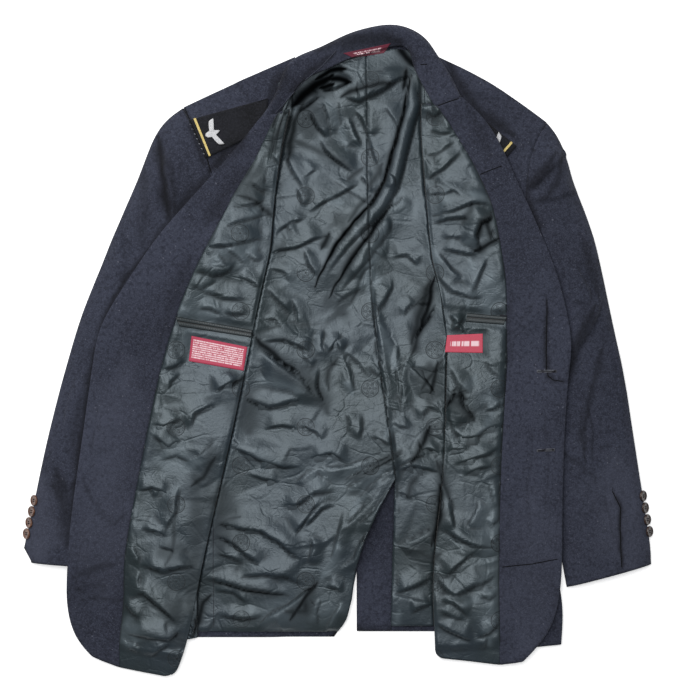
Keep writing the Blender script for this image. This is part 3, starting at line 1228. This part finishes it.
# The two colours of its cloth, how many rows, how many dashes in a row, how far they reach
# across and down, and the share that stays blank.
LABEL_LOOKS = {
    "care_label": (("a22f49", "b43f57"), 9, 110, (0.04, 0.95, 0.1, 0.86), 0.40),
    "brand_label": (("b23c50", "c14a5d"), 1, 16, (0.12, 0.9, 0.3, 0.72), 0.42),
    "neck_label": (("56142a", "671a2e"), 2, 40, (0.15, 0.85, 0.25, 0.8), 0.47),
}
for name, corners in LABELS.items():
    piece = patch(name + "_woven", corners, 40, 18, 0.5, no_relief,
                  label_material(name, *LABEL_LOOKS[name]), settle=6)
    dress(piece, name, "label")
WELT = welt_material()
for name, corners in WELTS.items():
    dress(patch(name + "_lips", corners, 70, 14, 0.5, lips, WELT, settle=3), name, "lining")


# ---------------------------------------------------------------- boards, seams and buttons
def thread_material(name, dark, light, scale, turn, shine, rough):
    """Braid or embroidery: rows of thread side by side, with a little unevenness."""
    n = Nodes(name)
    rows = n.ribs(turn, "X", {"Scale": scale, "Distortion": 3.0, "Detail Scale": 60})
    height = n.plus(rows, n.times(n.noise(700, 2, 0.6), 0.5))
    base = n.blend(n.steps(height, 0.25, 0.95), dark, light)
    rough = n.calc("MULTIPLY_ADD", n.noise(300, 1, 0.5), 0.15, rough)
    return n.finish(base, rough, n.bump(height, 0.6, 0.0005), Specular_IOR_Level=shine,
                    Sheen_Weight=0.08)


def board_material():
    """The close ribbed cloth of a shoulder board."""
    n = Nodes("board_cloth")
    ribs = n.ribs(-16, "Y", {"Scale": 190, "Distortion": 1.2})
    fuzz = n.noise(480, 3, 0.7)
    base = n.blend(n.steps(n.noise(28, 3, 0.6), 0.3, 0.7), "0e0f12", "191a1f")
    base = n.blend(n.steps(fuzz, 0.4, 0.8), base, "26272d")
    normal = n.bump(n.plus(n.times(ribs, 0.7), fuzz), 0.5, 0.0005)
    normal = n.bump(n.noise(55, 3, 0.6), 0.4, 0.002, normal)
    return n.finish(base, 0.88, normal, Sheen_Weight=0.04, Specular_IOR_Level=0.2)


def button_material(name, dark, light, cloudy):
    """Mottled brown horn, dark in its four holes."""
    n = Nodes(name)
    swirl = n.noise(260, 4, 0.65)
    base = n.blend(n.steps(swirl, 0.3, 0.7), dark, light)
    base = n.blend(n.times(n.steps(n.noise(90, 2, 0.5), 0.5, 0.75), 0.6), base, cloudy)
    base = n.blend(n.stored("shade"), base, "0d0806")
    rough = n.calc("MULTIPLY_ADD", swirl, 0.2, 0.22)
    return n.finish(base, rough, n.bump(swirl, 0.15, 0.0004), Specular_IOR_Level=0.6)


def buttonhole_material():
    """A slit with an eyelet at its end, edged with close pale stitches."""
    n = Nodes("worked_buttonhole")
    u, v = cut_place(n)
    slit = n.times(band(n, v, 0.36, 0.64, 0.08), band(n, u, 0.05, 0.9, 0.02))
    eyelet = n.times(band(n, v, 0.16, 0.84, 0.1), band(n, u, 0.85, 0.96, 0.03))
    hole = n.most(slit, eyelet)
    ticks = n.calc("MULTIPLY_ADD", n.calc("SINE", n.times(u, 230.0)), 0.5, 0.5)
    wear = n.steps(n.noise(160, 2, 0.5), 0.35, 0.6)
    base = n.blend(n.times(ticks, wear), "24252f", "7c7f88")
    base = n.blend(hole, base, "050507")
    height = n.minus(ticks, n.times(hole, 2.0))
    return n.finish(base, 0.7, n.bump(height, 0.6, 0.0006), Specular_IOR_Level=0.3)


def solid_trim(name, node, target, lift, material, slot, shift=(0, 0)):
    """A CAD trim with its rim kept, finer faces, and its own relief."""
    bm = smooth_wall(node, target)
    bm.normal_update()
    for vert, height in zip(bm.verts, lift(points_of(bm.verts)[:, :2])):
        if vert.normal.z > 0.3:
            vert.co.z += height * MM
        vert.co += Vector((*shift, 0)) * MM
    piece = as_object(bm, name)
    store_shade(piece.data, "trim", [], [])
    piece.data.materials.append(material)
    shade_smooth(piece.data)
    dress(piece, node, slot)
    return piece


STEP, SUNK = 1.6, 0.25  # mm between a ribbon's points, and its sides' depth in the cloth


def ribbons(name, paths, width, height, material, slot):
    """Narrow lines laid along paths over the cloth, such as seams and stitches, as one piece."""
    points, faces = [], []
    for path in paths:
        path = np.array(path, float)
        ends = run_of(path)
        stops = np.linspace(0, ends[-1], max(2, int(ends[-1] / STEP) + 1))
        line = np.stack([np.interp(stops, ends, path[:, k]) for k in (0, 1)], 1)
        way = np.gradient(line, axis=0)
        way /= np.linalg.norm(way, axis=1)[:, None]
        out = np.stack([-way[:, 1], way[:, 0]], 1) * width / 2
        first = len(points)
        low = np.array([max(on_cloth(*spot) for spot in (p, p + o, p - o)) / MM
                        for p, o in zip(line, out)])
        for p, o, z in zip(line, out, low):
            points += [(*(p + share * o), z + rise) for share, rise in (
                (-1, -SUNK), (-0.6, height), (0.6, height), (1, -SUNK))]
        for k in range(len(line) - 1):
            a = first + 4 * k
            faces += [(a + j, a + 4 + j, a + 4 + (j + 1) % 4, a + (j + 1) % 4) for j in range(4)]
        a = first + 4 * (len(line) - 1)
        faces += [(first, first + 1, first + 2, first + 3), (a + 3, a + 2, a + 1, a)]
    mesh = mesh_from(name, np.array(points) * MM, faces, material)
    bm = bmesh.new()
    bm.from_mesh(mesh)
    bmesh.ops.recalc_face_normals(bm, faces=bm.faces)
    bm.to_mesh(mesh)
    bm.free()
    dress(add_object(name, mesh), None, slot)


# A button's half section: share of its radius, share of its thickness. Inside its raised rim,
# its face lies at DISH.
DISH = 0.71
RINGS = [(0.82, 0), (0.93, 0.08), (0.99, 0.28), (1, 0.5), (0.975, 0.74), (0.93, 0.92),
         (0.87, 1.0), (0.79, 0.99), (0.72, 0.9), (0.66, 0.79), (0.56, 0.73)]
RINGS += [(share, DISH) for share in (0.46, 0.4, 0.36, 0.32, 0.28, 0.24, 0.2, 0.16, 0.12, 0.07)]
ROUND = 48
HOLE = 0.17  # how far each of the four holes is from the button's middle lines
BORE, BEVEL, SINK = 0.125, 0.05, 0.4  # a hole's radius, its soft edge, and its depth
BAR = 0.07  # radius of a bar of thread, as a share of the button's
LENGTHS, SIDES = 6, 6  # of a bar of thread


def thread_bar(radius, low, thick, bar, first):
    """Points and faces of one bar of thread between two holes."""
    spots, faces = [], []
    for k in range(LENGTHS + 1):
        z = low + thick * (0.6 + 0.26 * math.sin(math.pi * k / LENGTHS))
        for j in range(SIDES):
            turn = 2 * math.pi * j / SIDES
            spots.append(((k / LENGTHS - 0.5) * 2 * HOLE * radius,
                          (bar + BAR * math.cos(turn)) * radius, z + BAR * radius * math.sin(turn)))
    for k in range(LENGTHS):
        for j in range(SIDES):
            a, b = (first + SIDES * k + side % SIDES for side in (j, j + 1))
            faces.append((a, b, b + SIDES, a + SIDES))
    return spots, faces


def button_piece(name, node, horn, thread):
    """A four-hole button sewn on with two bars of thread, in the place of its CAD node."""
    points = points_of(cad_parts[node].data.vertices) * MM
    middle = (points.min(0) + points.max(0)) / 2
    axis = np.linalg.svd(points - points.mean(0))[2][2]
    axis = axis * (1 if axis[2] > 0 else -1)
    across = np.cross([0, 1, 0], axis)
    across /= np.linalg.norm(across)
    ways = np.stack([across, np.cross(axis, across), axis])
    local = (points - middle) @ ways.T
    radius, low, thick = np.abs(local[:, :2]).max(), local[:, 2].min(), np.ptp(local[:, 2])
    spots, shade = [(0, 0, low)], [0.0]
    for share, rise in RINGS:
        for k in range(ROUND):
            angle = 2 * math.pi * k / ROUND
            x, y = share * math.cos(angle), share * math.sin(angle)
            off = math.hypot(abs(x) - HOLE, abs(y) - HOLE)  # from the middle of a hole
            sunk = float(eased((BORE - off) / BEVEL)) if rise == DISH else 0.0
            spots.append((x * radius, y * radius, low + thick * (rise - SINK * sunk)))
            shade.append(sunk)
    turns = [(k, (k + 1) % ROUND) for k in range(ROUND)]
    faces = [(0, 1 + b, 1 + a) for a, b in turns]
    for ring in range(len(RINGS) - 1):
        at = 1 + ring * ROUND
        faces += [(at + a, at + b, at + b + ROUND, at + a + ROUND) for a, b in turns]
    at = 1 + (len(RINGS) - 1) * ROUND
    faces += [(at + a, at + b, len(spots)) for a, b in turns]
    spots.append((0, 0, low + thick * DISH))
    shade.append(0.0)
    plain = len(faces)
    for bar in (-HOLE, HOLE):
        more, sides = thread_bar(radius, low, thick, bar, len(spots))
        spots += more
        shade += [0.0] * len(more)
        faces += sides
    mesh = mesh_from(name, middle + np.array(spots) @ ways, faces, horn, thread)
    mesh.attributes.new("shade", "FLOAT", "POINT").data.foreach_set("value", shade)
    mesh.polygons.foreach_set("material_index", [int(k >= plain) for k in range(len(faces))])
    shade_smooth(mesh)
    dress(add_object(name, mesh), node, "button")


BOARD = board_material()
GOLD = thread_material("gold_braid", "9c7f33", "f1dd8f", 300, 35, 0.6, 0.4)
SILVER = thread_material("silver_embroidery", "8d8f93", "e6e6e8", 340, -24, 0.7, 0.35)
DARK_THREAD = thread_material("navy_thread", "0b0c11", "23242e", 420, 40, 0.3, 0.7)
SEAM_THREAD = thread_material("seam_shadow", "030305", "0b0c10", 420, 40, 0.1, 0.9)
PALE_THREAD = thread_material("pale_thread", "7f828a", "b9bbc2", 420, 40, 0.3, 0.6)
EDGE_THREAD = thread_material("edge_wool", "262934", "3f424e", 300, 30, 0.2, 0.85)
for side in ("right", "left"):
    piece = solid_trim(f"shoulder_board_{side}_cloth", f"shoulder_board_{side}", 3.0,
                       lambda plan: 0.7 * lattice(plan, 17, 91), BOARD, "board")
    SURFACES.append(surface_of(piece))
    solid_trim(f"board_stripe_{side}_braid", f"board_stripe_{side}", 1.5,
               lambda plan: 0.6 + 0.5 * lattice(plan, 6, 93), GOLD, "gold_braid")
    solid_trim(f"board_device_{side}_thread", f"board_device_{side}", 1.5,
               lambda plan: 0.9 + 0.7 * lattice(plan, 4, 95), SILVER, "silver_thread",
               shift=(6, 3.5) if side == "left" else (0, 0))
HORN = {"right": button_material("button_horn", "3f281d", "6d4b3a", "8c6a56"),
        "left": button_material("button_horn_shaded", "1c120e", "33221b", "4a372d")}
BUTTONS = [(f"cuff_button_{side}_{number}", f"sleeve_button_{side}_{number}", horn)
           for side, horn in HORN.items() for number in range(1, 5)]
BUTTONS += [(f"closing_button_{number}", f"front_button_{number}", HORN["right"])
            for number in (1, 2)]
for name, node, horn in BUTTONS:
    button_piece(name, node, horn, DARK_THREAD)

# The seams that show on the wool and the satin, as sunk dark lines.
SEAMS = [
    [(133.7, 325.8), (147, 330.5), (160.7, 334.8)],  # gorge
    [(110.7, 384), (120, 384)],
    [(190.4, 234.9), (205, 241), (218.7, 246)],
    [(-206.6, 326.7), (-201.2, 313.2), (-176.9, 260.6), (-170, 237.6)],  # head of the sleeve
    [(369, -190), (380, -212), (379, -242), (381.5, -292)],  # opening of the left cuff
    [(279.5, 67.5), (279.5, -26), (282, -35), (288, -40), (301, -42)],
    [(221, -292.5), (260, -288.5), (295, -281)],
]
ribbons("wool_seams", SEAMS, 1.5, 0.25, SEAM_THREAD, "wool")
ribbons("lining_seam", [[(-168, -235), (-168.6, -300), (-168, -375)]], 1.0, 0.1, DARK_THREAD,
        "lining")
ribbons("collar_edge", [[(-2.7, 402), (-21.6, 382), (-43.2, 364.5), (-60.7, 345.6), (-84, 318)]],
        1.3, 0.5, EDGE_THREAD, "wool")
STITCHES = 7
START, WAY = np.array([-199, 306]), np.array([22, -47])  # of the row of stitches on the board
ribbons("board_stitches", [[START + WAY * (k / STITCHES + 0.03) + (-1.2, -0.6),
                            START + WAY * (k / STITCHES + 0.06)] for k in range(STITCHES)],
        0.7, 0.5, PALE_THREAD, "board")


def worked_edge(u, v):
    """Height of a buttonhole's stitches on both sides of its slit, mm."""
    return 0.5 * math.sin(math.pi * v) - (0.5 if 0.4 < v < 0.6 else 0.0)


BUTTONHOLES = [[(267, -26.5), (293, -26.5), (293, -30.5), (267, -30.5)],
               [(267, -133.2), (290.5, -131.7), (290.3, -135.5), (267, -137)]]
BUTTONHOLE = buttonhole_material()
for number, corners in enumerate(BUTTONHOLES, 1):
    dress(patch(f"buttonhole_{number}", corners, 40, 9, 0.35, worked_edge, BUTTONHOLE), None,
          "wool")
dress(patch("welt_tack", [(217.5, 47.5), (227, 47), (227, 38.5), (217.5, 39)], 8, 8, 0.5, no_relief,
            DARK_THREAD), None, "lining")


# ---------------------------------------------------------------- stage
def area_light(name, place, size, power):
    """A round light that looks at the middle of the floor."""
    data = bpy.data.lights.new(name, "AREA")
    data.shape, data.size, data.energy = "DISK", size, power
    light = add_object(name, data)
    light.location = place
    light.rotation_euler = (-Vector(place)).to_track_quat("-Z", "Y").to_euler()


def make_stage():
    """The camera straight above, two soft lights, a pale sky and a white floor."""
    scene = bpy.context.scene
    data = bpy.data.cameras.new("camera")
    data.lens, data.sensor_width, data.clip_end = 83.5, 36, 20
    scene.camera = add_object("camera", data)
    scene.camera.location = (0.0162, 0, 2.2)
    area_light("key", (-0.9, 1.5, 1.5), 1.0, 26)
    area_light("overhead", (-0.25, 0.45, 2.6), 1.5, 44.5)
    world = bpy.data.worlds.new("studio")
    world.use_nodes = True
    world.node_tree.nodes["Background"].inputs["Color"].default_value = (0.95, 0.97, 1, 1)
    world.node_tree.nodes["Background"].inputs["Strength"].default_value = 0.2
    scene.world = world
    scene.view_settings.view_transform = "Standard"
    n = Nodes("floor")
    for key, value in {"Base Color": (0.93, 0.93, 0.93, 1), "Roughness": 0.9,
                       "Emission Color": (1, 1, 1, 1), "Emission Strength": 0.45}.items():
        n.feed(n.shader.inputs[key], value)
    corners = [(x, y, 0) for x, y in ((-4, -4), (4, -4), (4, 4), (-4, 4))]
    floor = add_object("floor", mesh_from("floor", corners, [(0, 1, 2, 3)], n.material))
    floor.location.z = -0.0005


make_stage()
